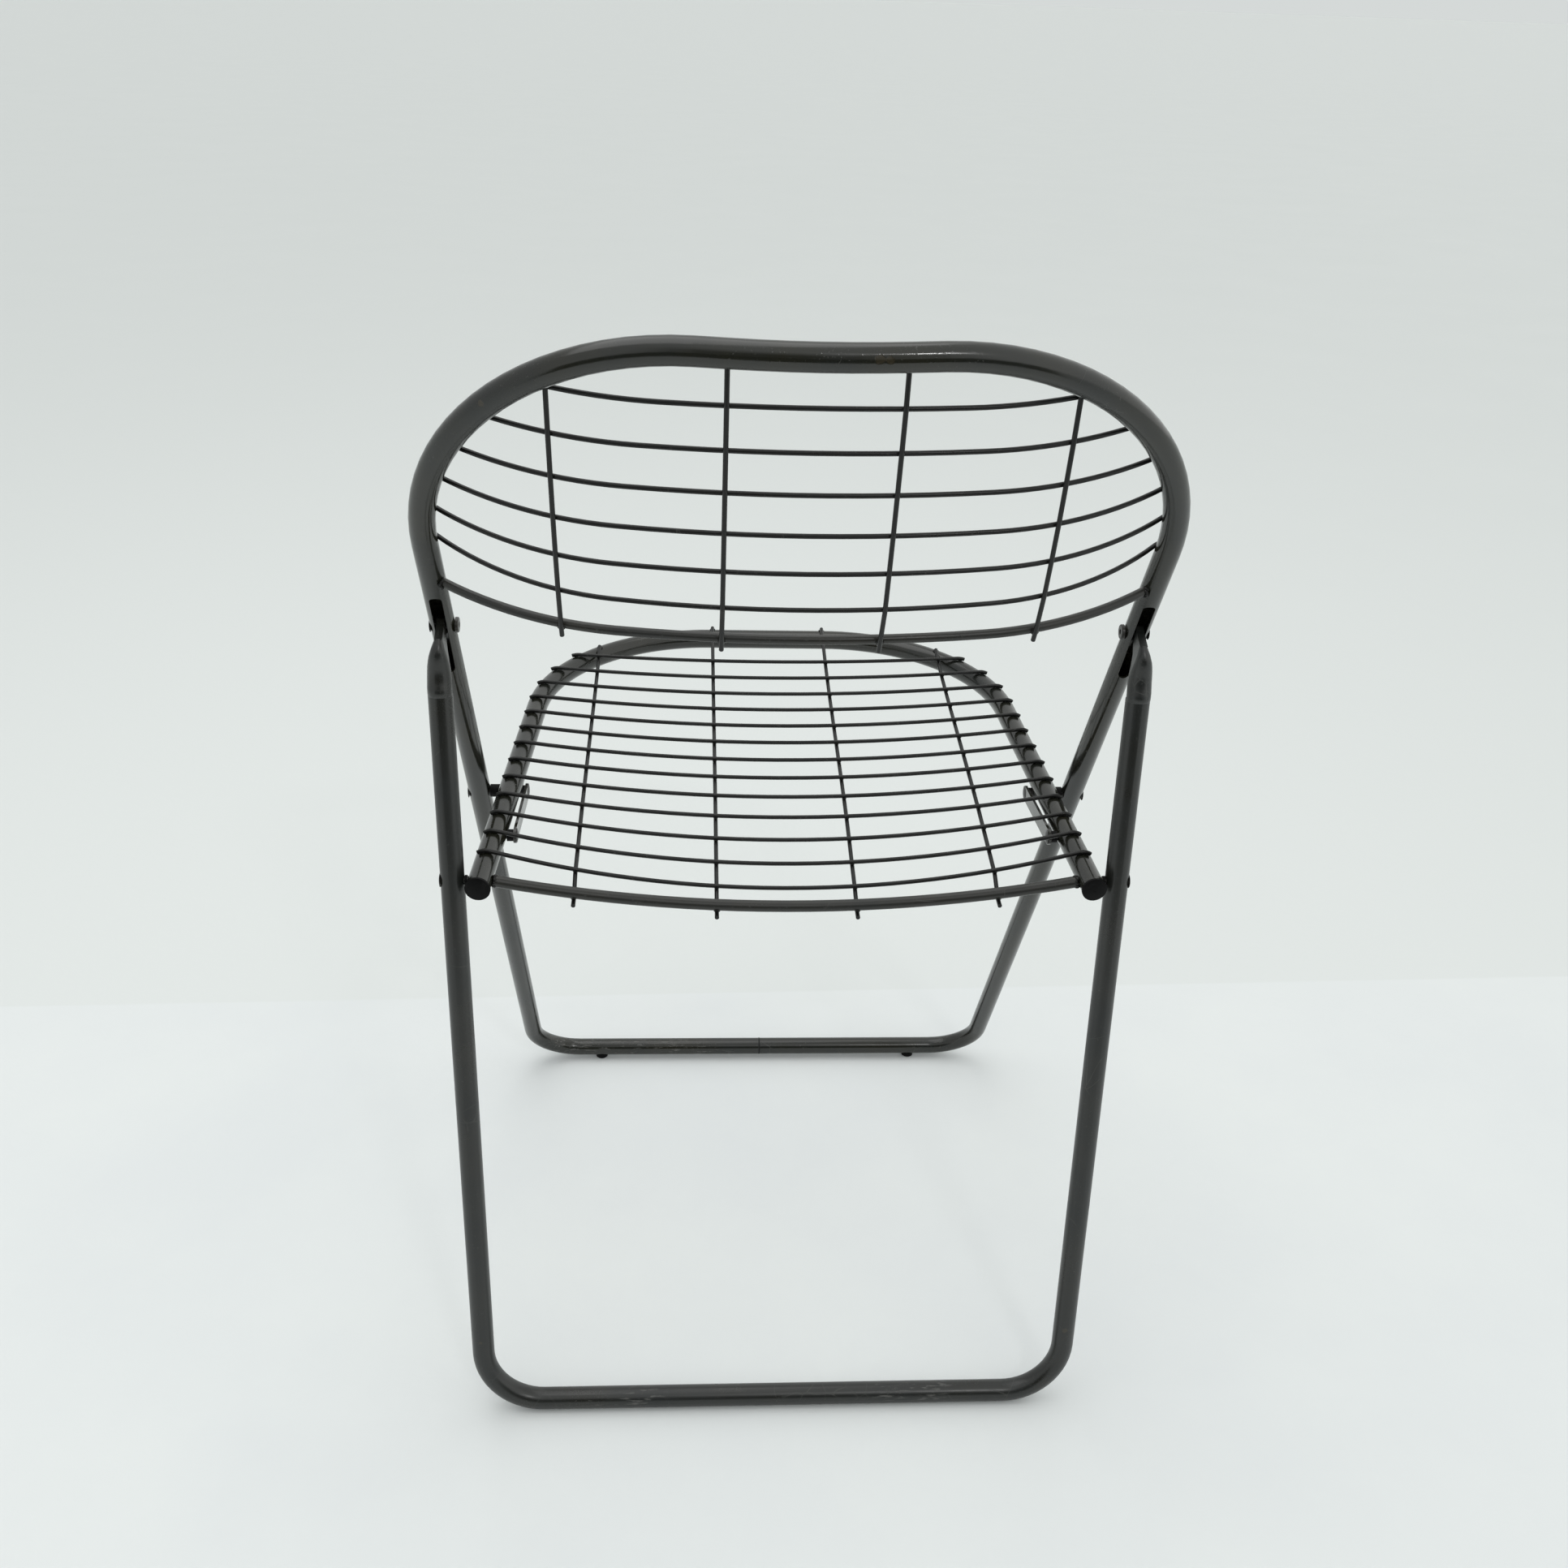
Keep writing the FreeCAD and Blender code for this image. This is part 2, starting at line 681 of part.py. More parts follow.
def make_link_rear_bush():
    point = on_seat(0, link_length_behind, 0)
    inner = link_plane + link_thickness / 2 + running_gap
    outer = rail_line(link_length_behind) - tube_radius - rail_narrowing * rear_bush_radius - weld_gap
    sleeve = across(inner, outer, point, rear_bush_radius)
    return sleeve.cut(across(inner - 1, outer + 1, point, rivet_radius + shaft_clearance))


def make_tube_plug():
    way = (on_seat(rail_narrowing, -1, 0) - on_seat(0, 0, 0)).normalize()
    mouth = on_seat(rail_line(-rail_tail), -rail_tail, 0) + way * 0.05
    rim = Part.makeCylinder(plug_rim_radius, plug_rim_height, mouth, way)
    cap = dome(mouth + way * plug_rim_height, way, plug_rim_radius, plug_dome_height)
    stem = Part.makeCylinder(tube_bore - shaft_clearance, plug_stem_length, mouth, way * -1)
    return rim.fuse(cap).fuse(stem).removeSplitter()


def make_front_glide():
    bar_middle = on_main(glide_half_spacing, -main_length, 0)
    foot = V(bar_middle.x, bar_middle.y, 0)
    button = Part.makeCylinder(glide_radius, glide_height + tube_radius / 4, foot)
    button = button.makeChamfer(glide_chamfer, [min(button.Edges, key=lambda edge: edge.CenterOfMass.z)])
    reach = 2 * glide_radius
    bar = across(bar_middle.x - reach, bar_middle.x + reach, bar_middle, tube_radius + shaft_clearance)
    return button.cut(bar).fuse(Part.makeCylinder(glide_stem_radius, glide_stem_length, foot))


save("main_frame", make_main_frame())
save("rear_leg_frame", make_rear_leg_frame())
save("seat_frame", make_seat_frame())
save("back_lower_rod", make_back_rod())
save("seat_rear_rod", make_seat_rod())
for index in range(len(seat_wire_sags)):
    save("seat_cross_wire_%02d" % (index + 1), make_seat_cross_wire(index))
for index in range(len(back_wire_bows)):
    save("back_cross_wire_%d" % (index + 1), make_back_cross_wire(index))
for place, side in zip(("inner", "outer"), long_wire_spacing):
    save_pair(place + "_seat_long_wire", make_seat_long_wire(side))
    save_pair(place + "_back_upright", make_back_upright(side))
save_pair("leg_pivot_rivet", make_leg_pivot_rivet())
save_pair("seat_pivot_rivet", make_seat_pivot_rivet())
save_pair("seat_pivot_spacer", make_seat_pivot_spacer())
save_pair("link_front_pin", make_link_front_pin())
save_pair("link_front_rivet", make_link_front_rivet())
save_pair("link_front_bush", make_link_front_bush())
save_pair("seat_link", make_seat_link())
save_pair("link_rear_rivet", make_link_rear_rivet())
save_pair("link_rear_bush", make_link_rear_bush())
save_pair("seat_tube_plug", make_tube_plug())
save_pair("front_glide", make_front_glide())
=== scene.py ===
# %% [markdown]
# # A folding chair of bent tube and welded wire
#
# The chair is three frames of bent steel tube that fold on rivets. A mesh of thin wires hangs
# between the tubes of the seat, and another between the two sides of the back. The steel has one
# coat of dark gunmetal paint, and the plugs, bushes, spacers and glides are black plastic.
#
# The tubes, wires and rivets come from the chair's CAD model, so their places are exact. This
# script adds what a drawing leaves out: the paint with its grit and rubbed spots, the small lumps
# of weld that hold the wires, the joint in the front bar, and the light of a pale room.

import math
import random

import bmesh
import bpy
from mathutils import Matrix, Quaternion, Vector, noise
from mathutils.bvhtree import BVHTree


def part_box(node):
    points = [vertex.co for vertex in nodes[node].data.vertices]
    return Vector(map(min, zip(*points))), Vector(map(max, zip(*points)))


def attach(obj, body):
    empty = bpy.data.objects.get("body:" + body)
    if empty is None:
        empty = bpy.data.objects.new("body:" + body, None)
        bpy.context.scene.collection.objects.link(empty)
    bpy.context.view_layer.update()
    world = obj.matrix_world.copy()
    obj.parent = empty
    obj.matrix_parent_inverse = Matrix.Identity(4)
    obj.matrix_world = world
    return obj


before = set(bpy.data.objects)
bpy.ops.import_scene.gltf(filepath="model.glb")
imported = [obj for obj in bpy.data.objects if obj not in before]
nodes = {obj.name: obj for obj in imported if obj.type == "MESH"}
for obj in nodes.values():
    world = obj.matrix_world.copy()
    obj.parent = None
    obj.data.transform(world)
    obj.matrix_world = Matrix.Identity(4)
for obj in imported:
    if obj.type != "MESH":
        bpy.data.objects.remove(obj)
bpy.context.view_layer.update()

# %% [markdown]
# ## The camera
#
# A camera is three things: where it stands, which way it looks and how wide it sees. The chair
# was seen from behind, from a little above a standing waist, so the camera stands behind the
# back, looks down, and leans a touch to one side. `to_track_quat` turns a direction into a
# rotation, and a small extra turn about the line of sight gives the lean.

# %% Set the camera
CAMERA_PLACE = Vector((0.0655, 1.0536, 0.9633))
CAMERA_TURN = 0.066
CAMERA_DOWN = 0.471
CAMERA_LEAN = 0.035
FOCAL_PIXELS = 1931.4
IMAGE_PIXELS = 1932
SENSOR_WIDTH = 36.0
NEAREST_SEEN = 0.01

looking = Vector((
    -math.sin(CAMERA_TURN) * math.cos(CAMERA_DOWN),
    -math.cos(CAMERA_TURN) * math.cos(CAMERA_DOWN),
    -math.sin(CAMERA_DOWN),
))
camera_data = bpy.data.cameras.new("chair_camera")
camera_data.sensor_width = SENSOR_WIDTH
camera_data.lens = FOCAL_PIXELS / IMAGE_PIXELS * SENSOR_WIDTH
camera_data.clip_start = NEAREST_SEEN
camera = bpy.data.objects.new("chair_camera", camera_data)
camera.location = CAMERA_PLACE
camera.rotation_mode = "QUATERNION"
camera.rotation_quaternion = looking.to_track_quat("-Z", "Y") @ Quaternion((0, 0, 1), CAMERA_LEAN)
bpy.context.scene.collection.objects.link(camera)
bpy.context.scene.camera = camera
print("lens:", round(camera_data.lens, 2), "mm")

# %% [markdown]
# ## Helpers for materials
#
# A material in Blender is a small network of nodes, and helpers keep the network readable. The
# first places any node and plugs in its inputs, and short ones wrap the kinds that come up most.
# `open_group` opens a node group with named sockets. A group is an effect that several materials
# share, each with its own values.
#
# Every material here ends the same way: a colour, a roughness, and a height that a bump node
# turns into small slopes. `open_material` and `plug_in` do that part once for all of them.

# %% Place nodes, open groups and open materials
def place(tree, kind, inputs=None, **settings):
    made = tree.nodes.new(kind)
    for name, value in settings.items():
        setattr(made, name, value)
    for name, value in (inputs or {}).items():
        socket = made.inputs[name]
        if isinstance(value, bpy.types.NodeSocket):
            tree.links.new(value, socket)
        else:
            socket.default_value = value
    return made


def math_node(tree, operation, first, second=0.0):
    made = place(tree, "ShaderNodeMath", {0: first, 1: second}, operation=operation)
    return made.outputs[0]


def band(tree, value, low, high, to_low=0.0, to_high=1.0):
    made = place(tree, "ShaderNodeMapRange", {
        "Value": value, "From Min": low, "From Max": high, "To Min": to_low, "To Max": to_high,
    })
    return made.outputs["Result"]


def noise_node(tree, vector, scale, detail=2.0, roughness=0.5):
    made = place(tree, "ShaderNodeTexNoise", {
        "Vector": vector, "Scale": scale, "Detail": detail, "Roughness": roughness,
    })
    return made.outputs["Fac"]


def mix(tree, factor, first, second):
    made = place(tree, "ShaderNodeMixRGB", {"Fac": factor, "Color1": first, "Color2": second})
    return made.outputs["Color"]


def object_vector(tree):
    return place(tree, "ShaderNodeTexCoord").outputs["Object"]


def stretched_vector(tree, vector, scale):
    return place(tree, "ShaderNodeMapping", {"Vector": vector, "Scale": scale}).outputs["Vector"]


def open_group(name, inputs, outputs):
    group = bpy.data.node_groups.new(name, "ShaderNodeTree")
    for socket_name, kind, value in inputs:
        socket = group.interface.new_socket(socket_name, in_out="INPUT", socket_type=kind)
        if value is not None:
            socket.default_value = value
    for socket_name, kind in outputs:
        group.interface.new_socket(socket_name, in_out="OUTPUT", socket_type=kind)
    return group, group.nodes.new("NodeGroupInput"), group.nodes.new("NodeGroupOutput")


def open_material(name):
    material = bpy.data.materials.new(name)
    material.use_nodes = True
    tree = material.node_tree
    return material, tree, tree.nodes["Principled BSDF"]


def plug_in(tree, shader, colour, rough, height, bump, depth):
    raised = place(tree, "ShaderNodeBump", {"Height": height, "Strength": bump, "Distance": depth})
    tree.links.new(colour, shader.inputs["Base Color"])
    tree.links.new(rough, shader.inputs["Roughness"])
    tree.links.new(raised.outputs["Normal"], shader.inputs["Normal"])


# %% [markdown]
# ## Paint that is not quite even
#
# Paint on a tube that has been used for years is never one colour. It is a little browner in one
# place and cooler in another, it has grit caught in it, fine scratches, and the slight ripple
# that painters call orange peel. Each of these is a noise texture at its own size. The group
# gives four numbers that change over the surface: tone, grit, scratches and height.
#
# A scale says about how many features fit in a metre, and a band says between which two values of
# a texture the effect fades in or out.

# %% The paint group
TONE_BAND = (0.36, 0.64)
GRIT_BAND = (0.66, 0.76)
GRITTY_PLACES_SCALE = 22.0
GRITTY_PLACES_BAND = (0.42, 0.6)
WANDER_SCALE = 9.0
WANDER_SHARE = 0.07
SCRATCH_BAND = (0.006, 0.014)
SCRATCHED_PLACES_SCALE = 31.0
SCRATCHED_PLACES_BAND = (0.55, 0.66)
PEEL_SCALE = 330.0
PEEL_SHARE = 0.25
SCRATCH_SHARE = 0.6


def make_paint_group():
    group, given, result = open_group(
        "worn_paint",
        [("Vector", "NodeSocketVector", None), ("Cloud Scale", "NodeSocketFloat", 16.0),
         ("Grit Scale", "NodeSocketFloat", 750.0), ("Scratch Scale", "NodeSocketFloat", 38.0)],
        [("Tone", "NodeSocketFloat"), ("Grit", "NodeSocketFloat"),
         ("Scratches", "NodeSocketFloat"), ("Height", "NodeSocketFloat")],
    )
    vector = given.outputs["Vector"]
    clouds = noise_node(group, vector, given.outputs["Cloud Scale"], detail=5.0, roughness=0.62)
    group.links.new(band(group, clouds, *TONE_BAND), result.inputs["Tone"])

    specks = noise_node(group, vector, given.outputs["Grit Scale"], detail=1.0)
    gritty_places = noise_node(group, vector, GRITTY_PLACES_SCALE, detail=3.0)
    grit = math_node(
        group, "MULTIPLY", band(group, specks, *GRIT_BAND),
        band(group, gritty_places, *GRITTY_PLACES_BAND),
    )
    group.links.new(grit, result.inputs["Grit"])

    wander = place(group, "ShaderNodeTexNoise", {
        "Vector": vector, "Scale": WANDER_SCALE, "Detail": 2.0,
    })
    bent = mix(group, WANDER_SHARE, vector, wander.outputs["Color"])
    lines = place(group, "ShaderNodeTexVoronoi", {
        "Vector": bent, "Scale": given.outputs["Scratch Scale"],
    }, feature="DISTANCE_TO_EDGE")
    thin = band(group, lines.outputs["Distance"], *SCRATCH_BAND, 1.0, 0.0)
    scratched_places = noise_node(group, vector, SCRATCHED_PLACES_SCALE, detail=4.0)
    scratches = math_node(
        group, "MULTIPLY", thin, band(group, scratched_places, *SCRATCHED_PLACES_BAND),
    )
    group.links.new(scratches, result.inputs["Scratches"])

    peel = noise_node(group, vector, PEEL_SCALE, detail=1.0)
    raised = math_node(group, "ADD", math_node(group, "MULTIPLY", peel, PEEL_SHARE), grit)
    sunk = math_node(group, "MULTIPLY", scratches, SCRATCH_SHARE)
    group.links.new(math_node(group, "SUBTRACT", raised, sunk), result.inputs["Height"])
    return group


worn_paint = make_paint_group()
print("paint group sockets:", [item.name for item in worn_paint.interface.items_tree])

# %% [markdown]
# ## Finding a place on the tubes
#
# Some marks are seen at one place only, so the script looks for that place the way the camera
# does: a ray leaves the camera through a pixel and stops at the first tube. A BVH tree, which
# sorts the faces of a mesh into boxes, answers such questions quickly. The wires and rods get
# trees too, because the welds further down need them.

# %% Send a ray from the camera to a tube
TUBES = ("main_frame", "rear_leg_frame", "seat_frame")
WELDED = ("wire", "upright", "frame", "rod")


def mesh_points(name):
    return [vertex.co for vertex in nodes[name].data.vertices]


def surface_of(name):
    faces = [polygon.vertices for polygon in nodes[name].data.polygons]
    return BVHTree.FromPolygons(mesh_points(name), faces)


surfaces = {name: surface_of(name) for name in nodes if any(word in name for word in WELDED)}


def seen_at(pixel_x, pixel_y):
    across = (pixel_x - IMAGE_PIXELS / 2) / FOCAL_PIXELS
    rise = (IMAGE_PIXELS / 2 - pixel_y) / FOCAL_PIXELS
    ray = (camera.rotation_quaternion @ Vector((across, rise, -1.0))).normalized()
    hits = [surfaces[name].ray_cast(CAMERA_PLACE, ray) for name in TUBES]
    nearest = min((hit for hit in hits if hit[0] is not None), key=lambda hit: hit[3])
    return nearest[0]


print("surfaces:", len(surfaces), "top of the back:", [round(v, 4) for v in seen_at(1090, 440)])

# %% [markdown]
# ## Chips and rubbed places
#
# A chip is a small spot where the coat is gone. A ball-shaped mask finds it: the distance from a
# point, roughened by noise so that its edge is ragged. The same idea with height above the floor
# finds where the floor bars have been scuffed, and there the noise is stretched along the bar.
# Both groups answer with a mask from 0 to 1.

# %% The chip group and the scuff group
CHIP_EDGE_SCALE = 420.0
CHIP_EDGE_WIDTH = 0.0008
SCUFF_STREAKS = (90.0, 520.0, 520.0)
SCUFF_STREAKS_BAND = (0.56, 0.66)
SCUFFED_PLACES_SCALE = 11.0
SCUFFED_PLACES_BAND = (0.52, 0.60)
SCUFF_FADE_BAND = (0.0, 0.25)


def make_chip_group():
    group, given, result = open_group(
        "paint_chip",
        [("Vector", "NodeSocketVector", None), ("Centre", "NodeSocketVector", (0.0, 0.0, 0.0)),
         ("Radius", "NodeSocketFloat", 0.004)],
        [("Mask", "NodeSocketFloat")],
    )
    distance = place(group, "ShaderNodeVectorMath", {
        0: given.outputs["Vector"], 1: given.outputs["Centre"],
    }, operation="DISTANCE").outputs["Value"]
    ragged = noise_node(group, given.outputs["Vector"], CHIP_EDGE_SCALE, detail=3.0)
    share = math_node(group, "ADD", ragged, 0.5)
    edge = math_node(group, "MULTIPLY", given.outputs["Radius"], share)
    inside = math_node(group, "SUBTRACT", edge, distance)
    group.links.new(band(group, inside, 0.0, CHIP_EDGE_WIDTH), result.inputs["Mask"])
    return group


def make_scuff_group():
    group, given, result = open_group(
        "floor_scuff",
        [("Vector", "NodeSocketVector", None), ("Reach", "NodeSocketFloat", 0.03)],
        [("Mask", "NodeSocketFloat")],
    )
    vector = given.outputs["Vector"]
    height = place(group, "ShaderNodeSeparateXYZ", {0: vector}).outputs["Z"]
    share = math_node(group, "DIVIDE", height, given.outputs["Reach"])
    nearness = math_node(group, "SUBTRACT", 1.0, share)
    along_bar = stretched_vector(group, vector, SCUFF_STREAKS)
    streaks = noise_node(group, along_bar, 1.0, detail=4.0, roughness=0.6)
    scuffed_places = noise_node(group, vector, SCUFFED_PLACES_SCALE, detail=2.0)
    worn = math_node(
        group, "MULTIPLY", band(group, streaks, *SCUFF_STREAKS_BAND),
        band(group, scuffed_places, *SCUFFED_PLACES_BAND),
    )
    worn = math_node(group, "MULTIPLY", worn, band(group, nearness, *SCUFF_FADE_BAND))
    group.links.new(worn, result.inputs["Mask"])
    return group


paint_chip = make_chip_group()
floor_scuff = make_scuff_group()
print("groups:", paint_chip.name, floor_scuff.name)

# %% [markdown]
# ## The gunmetal paint
#
# The coat is nearly black and glossy, so what it shows is mostly the room around it. The
# Principled shader does that with a very low base colour and a low roughness. Tone moves the
# colour between a browner and a cooler grey. Grit and scratches lighten it and make it duller,
# and a chip leaves a small brown hollow.
#
# The rear legs get a more satin coat than the other tubes. Their pressed tops are cut into flat
# triangles, and a duller coat hides the edges between them.

# %% Make a paint from two greys
CHIP_PIXELS = (
    ((592, 497), 0.0022),
    ((1085, 443), 0.0030),
    ((1097, 444), 0.0024),
    ((1312, 1640), 0.0024),
    ((592, 1655), 0.0016),
)
CHIPS = [(seen_at(*pixel), radius) for pixel, radius in CHIP_PIXELS]
GRIT_COLOUR = (0.09, 0.09, 0.082, 1.0)
CHIP_COLOUR = (0.030, 0.025, 0.015, 1.0)
SCUFF_COLOUR = (0.13, 0.128, 0.12, 1.0)
MARK_STRENGTH = 0.28
MARK_ROUGHNESS = 0.2
SCUFF_STRENGTH = 0.6
SCUFF_ROUGHNESS = 0.25
PAINT_DEPTH = 0.0004


def make_paint(name, warm, cool, gloss_range, shine, bump, marked=False):
    material, tree, shader = open_material(name)
    shader.inputs["Specular IOR Level"].default_value = shine
    vector = object_vector(tree)
    paint = place(tree, "ShaderNodeGroup", {}, node_tree=worn_paint)
    tree.links.new(vector, paint.inputs["Vector"])
    tone, height = paint.outputs["Tone"], paint.outputs["Height"]
    light_marks = math_node(tree, "MAXIMUM", paint.outputs["Grit"], paint.outputs["Scratches"])
    lightened = math_node(tree, "MULTIPLY", light_marks, MARK_STRENGTH)
    dulled = math_node(tree, "MULTIPLY", light_marks, MARK_ROUGHNESS)
    colour = mix(tree, lightened, mix(tree, tone, warm, cool), GRIT_COLOUR)
    rough = math_node(tree, "ADD", band(tree, tone, 0.0, 1.0, *gloss_range), dulled)
    if marked:
        colour, height = add_chips(tree, vector, colour, height)
        colour, rough = add_scuffs(tree, vector, colour, rough)
    plug_in(tree, shader, colour, rough, height, bump, PAINT_DEPTH)
    return material


def add_chips(tree, vector, colour, height):
    for centre, radius in CHIPS:
        chip = place(tree, "ShaderNodeGroup", {}, node_tree=paint_chip)
        tree.links.new(vector, chip.inputs["Vector"])
        chip.inputs["Centre"].default_value = centre
        chip.inputs["Radius"].default_value = radius
        colour = mix(tree, chip.outputs["Mask"], colour, CHIP_COLOUR)
        height = math_node(tree, "SUBTRACT", height, chip.outputs["Mask"])
    return colour, height


def add_scuffs(tree, vector, colour, rough):
    scuff = place(tree, "ShaderNodeGroup", {}, node_tree=floor_scuff)
    tree.links.new(vector, scuff.inputs["Vector"])
    lightened = math_node(tree, "MULTIPLY", scuff.outputs["Mask"], SCUFF_STRENGTH)
    dulled = math_node(tree, "MULTIPLY", scuff.outputs["Mask"], SCUFF_ROUGHNESS)
    return mix(tree, lightened, colour, SCUFF_COLOUR), math_node(tree, "ADD", rough, dulled)


tube_paint = make_paint(
    "gunmetal_tube", warm=(0.0150, 0.0146, 0.0094, 1), cool=(0.0090, 0.0104, 0.0088, 1),
    gloss_range=(0.12, 0.24), shine=0.62, bump=0.12, marked=True,
)
leg_paint = make_paint(
    "gunmetal_leg", warm=(0.0125, 0.0125, 0.0098, 1), cool=(0.0075, 0.0092, 0.0086, 1),
    gloss_range=(0.25, 0.36), shine=0.62, bump=0.12, marked=True,
)
wire_paint = make_paint(
    "gunmetal_wire", warm=(0.0060, 0.0058, 0.0048, 1), cool=(0.0040, 0.0045, 0.0042, 1),
    gloss_range=(0.26, 0.38), shine=0.36, bump=0.2,
)
rod_paint = make_paint(
    "gunmetal_rod", warm=(0.020, 0.019, 0.015, 1), cool=(0.014, 0.0145, 0.0130, 1),
    gloss_range=(0.30, 0.42), shine=0.5, bump=0.3,
)
weld_paint = make_paint(
    "gunmetal_weld", warm=(0.0070, 0.0066, 0.0052, 1), cool=(0.0042, 0.0044, 0.0042, 1),
    gloss_range=(0.30, 0.5), shine=0.3, bump=0.5,
)
rivet_paint = make_paint(
    "gunmetal_rivet", warm=(0.030, 0.028, 0.023, 1), cool=(0.014, 0.014, 0.013, 1),
    gloss_range=(0.26, 0.45), shine=0.5, bump=0.35,
)
print("paints:", [material.name for material in bpy.data.materials if "gunmetal" in material.name])

# %% [markdown]
# ## Black plastic and blackened pins
#
# The end plugs, bushes, spacers and glides are moulded in black plastic: nearly black, half matt,
# with the fine pebble of the mould. The pins of the links are steel, blackened and wiped by the
# plates that turn on them, so a little metal shows between fine rings.

# %% Make the plastic and the pin steel
PLASTIC_SHINE = 0.12
PLASTIC_CLEAN = (0.002, 0.002, 0.002, 1)
PLASTIC_DUSTY = (0.008, 0.008, 0.008, 1)
PEBBLE_SCALE = 900.0
DUST_SCALE = 120.0
PIN_BLACKENED = (0.012, 0.012, 0.012, 1)
PIN_RUBBED = (0.085, 0.082, 0.078, 1)
RUBBED_SCALE = 260.0
PIN_RINGS = (1500.0, 60.0, 60.0)
PIN_METALLIC = 0.7
FINE_DEPTH = 0.0002


def make_plastic(name):
    material, tree, shader = open_material(name)
    shader.inputs["Specular IOR Level"].default_value = PLASTIC_SHINE
    vector = object_vector(tree)
    pebble = noise_node(tree, vector, PEBBLE_SCALE, detail=2.0)
    dust = noise_node(tree, vector, DUST_SCALE, detail=5.0, roughness=0.65)
    colour = mix(tree, band(tree, dust, 0.52, 0.75), PLASTIC_CLEAN, PLASTIC_DUSTY)
    rough = band(tree, dust, 0.3, 0.7, 0.42, 0.62)
    plug_in(tree, shader, colour, rough, pebble, 0.2, FINE_DEPTH)
    return material


def make_pin_steel(name):
    material, tree, shader = open_material(name)
    vector = object_vector(tree)
    worn = noise_node(tree, vector, RUBBED_SCALE, detail=4.0, roughness=0.6)
    rubbed = band(tree, worn, 0.5, 0.64)
    rings = noise_node(tree, stretched_vector(tree, vector, PIN_RINGS), 1.0, detail=2.0)
    colour = mix(tree, rubbed, PIN_BLACKENED, PIN_RUBBED)
    rough = band(tree, rings, 0.3, 0.7, 0.3, 0.5)
    metallic = band(tree, rubbed, 0.0, 1.0, 0.0, PIN_METALLIC)
    tree.links.new(metallic, shader.inputs["Metallic"])
    plug_in(tree, shader, colour, rough, rings, 0.15, FINE_DEPTH)
    return material


black_plastic = make_plastic("black_moulded_plastic")
pin_steel = make_pin_steel("blackened_pin_steel")

# %% [markdown]
# ## A finish for every piece
#
# The names of the CAD pieces say what they are, so a table from words to finishes is enough. The
# rows are tried in order. The two tubes and two links that no row matches get the glossy paint.

# %% Give every CAD piece its finish
FINISHES = (
    (("plug", "glide", "bush", "spacer"), black_plastic),
    (("link_front_pin", "link_front_rivet", "link_rear_rivet"), pin_steel),
    (("rivet",), rivet_paint),
    (("cross_wire", "long_wire", "upright"), wire_paint),
    (("rod",), rod_paint),
    (("rear_leg_frame",), leg_paint),
)


def finish_for(name):
    for words, finish in FINISHES:
        if any(word in name for word in words):
            return finish
    return tube_paint


for name, node in nodes.items():
    for material_slot in node.material_slots:
        material_slot.material = finish_for(name)
print("finished pieces:", len(nodes))

# %% [markdown]
# ## Where the wires touch
#
# Welds sit where two pieces of metal touch, so the script has to find those places. A wire's
# middle at any distance from the centre line is the average of the points where its edges cross
# that plane. The nearest point of the neighbouring piece comes from that piece's BVH tree, and
# the lump goes most of the way there.

# %% Find the middle of a wire and the surface beside it
WAY_TO_SURFACE = 0.9


def wire_middle(name, side):
    points = mesh_points(name)
    crossings = []
    for edge in nodes[name].data.edges:
        first, second = (points[index] for index in edge.vertices)
        if (first.x - side) * (second.x - side) < 0:
            crossings.append(first.lerp(second, (side - first.x) / (second.x - first.x)))
    return sum(crossings, Vector()) / len(crossings)


def touching_point(middle, surface):
    nearest = surface.find_nearest(middle)[0]
    return middle.lerp(nearest, WAY_TO_SURFACE), (nearest - middle).normalized()


print("middle of the front seat wire:", [round(v, 4) for v in wire_middle("seat_cross_wire_01", 0.0)])

# %% [markdown]
# ## Lumps of weld
#
# A spot weld squeezes out a small lump, longer one way than the other and never quite even. Each
# one starts as a coarse icosphere, which has evenly spread points. A matrix stretches it and lays
# it along the wire, and noise pushes its points in and out. All the lumps of one part of the
# chair share a mesh, because they are painted and move together.

# %% Build a lump, and an object from many lumps
LUMP_NOISE_SCALE = 900.0


def add_lump(bm, centre, along, towards, size, rounds=1, ragged=0.25):
    along = along.normalized()
    across = towards.cross(along).normalized()
    upright = along.cross(across).normalized()
    turned = Matrix((along, across, upright)).transposed().to_4x4()
    stretched = Matrix.Diagonal((*size, 1.0))
    made = bmesh.ops.create_icosphere(
        bm, subdivisions=rounds, radius=1.0, matrix=Matrix.Translation(centre) @ turned @ stretched,
    )
    middle_size = (size[0] * size[1] * size[2]) ** (1 / 3)
    for vertex in made["verts"]:
        outward = (vertex.co - centre).normalized()
        push = noise.noise(vertex.co * LUMP_NOISE_SCALE) * ragged * middle_size
        vertex.co += outward * push


def object_from(name, bm, material):
    mesh = bpy.data.meshes.new(name)
    bm.to_mesh(mesh)
    bm.free()
    mesh.materials.append(material)
    made = bpy.data.objects.new(name, mesh)
    bpy.context.scene.collection.objects.link(made)
    return made


def finish_piece(name, bm, body, material):
    bmesh.ops.recalc_face_normals(bm, faces=bm.faces[:])
    for face in bm.faces:
        face.smooth = True
    made = object_from(name, bm, material)
    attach(made, body)
    print(name, "faces:", len(made.data.polygons))


# %% Weld the crossings of the meshes
SIDEWAYS = Vector((1, 0, 0))
CROSSING_REACH = 0.004
CROSSING_LUMP = (0.0020, 0.0016, 0.0007)
WIRE_END_LUMP = (0.0020, 0.0012, 0.0006)
CUT_END = 0.0006
END_WELD_STEP = 0.0030


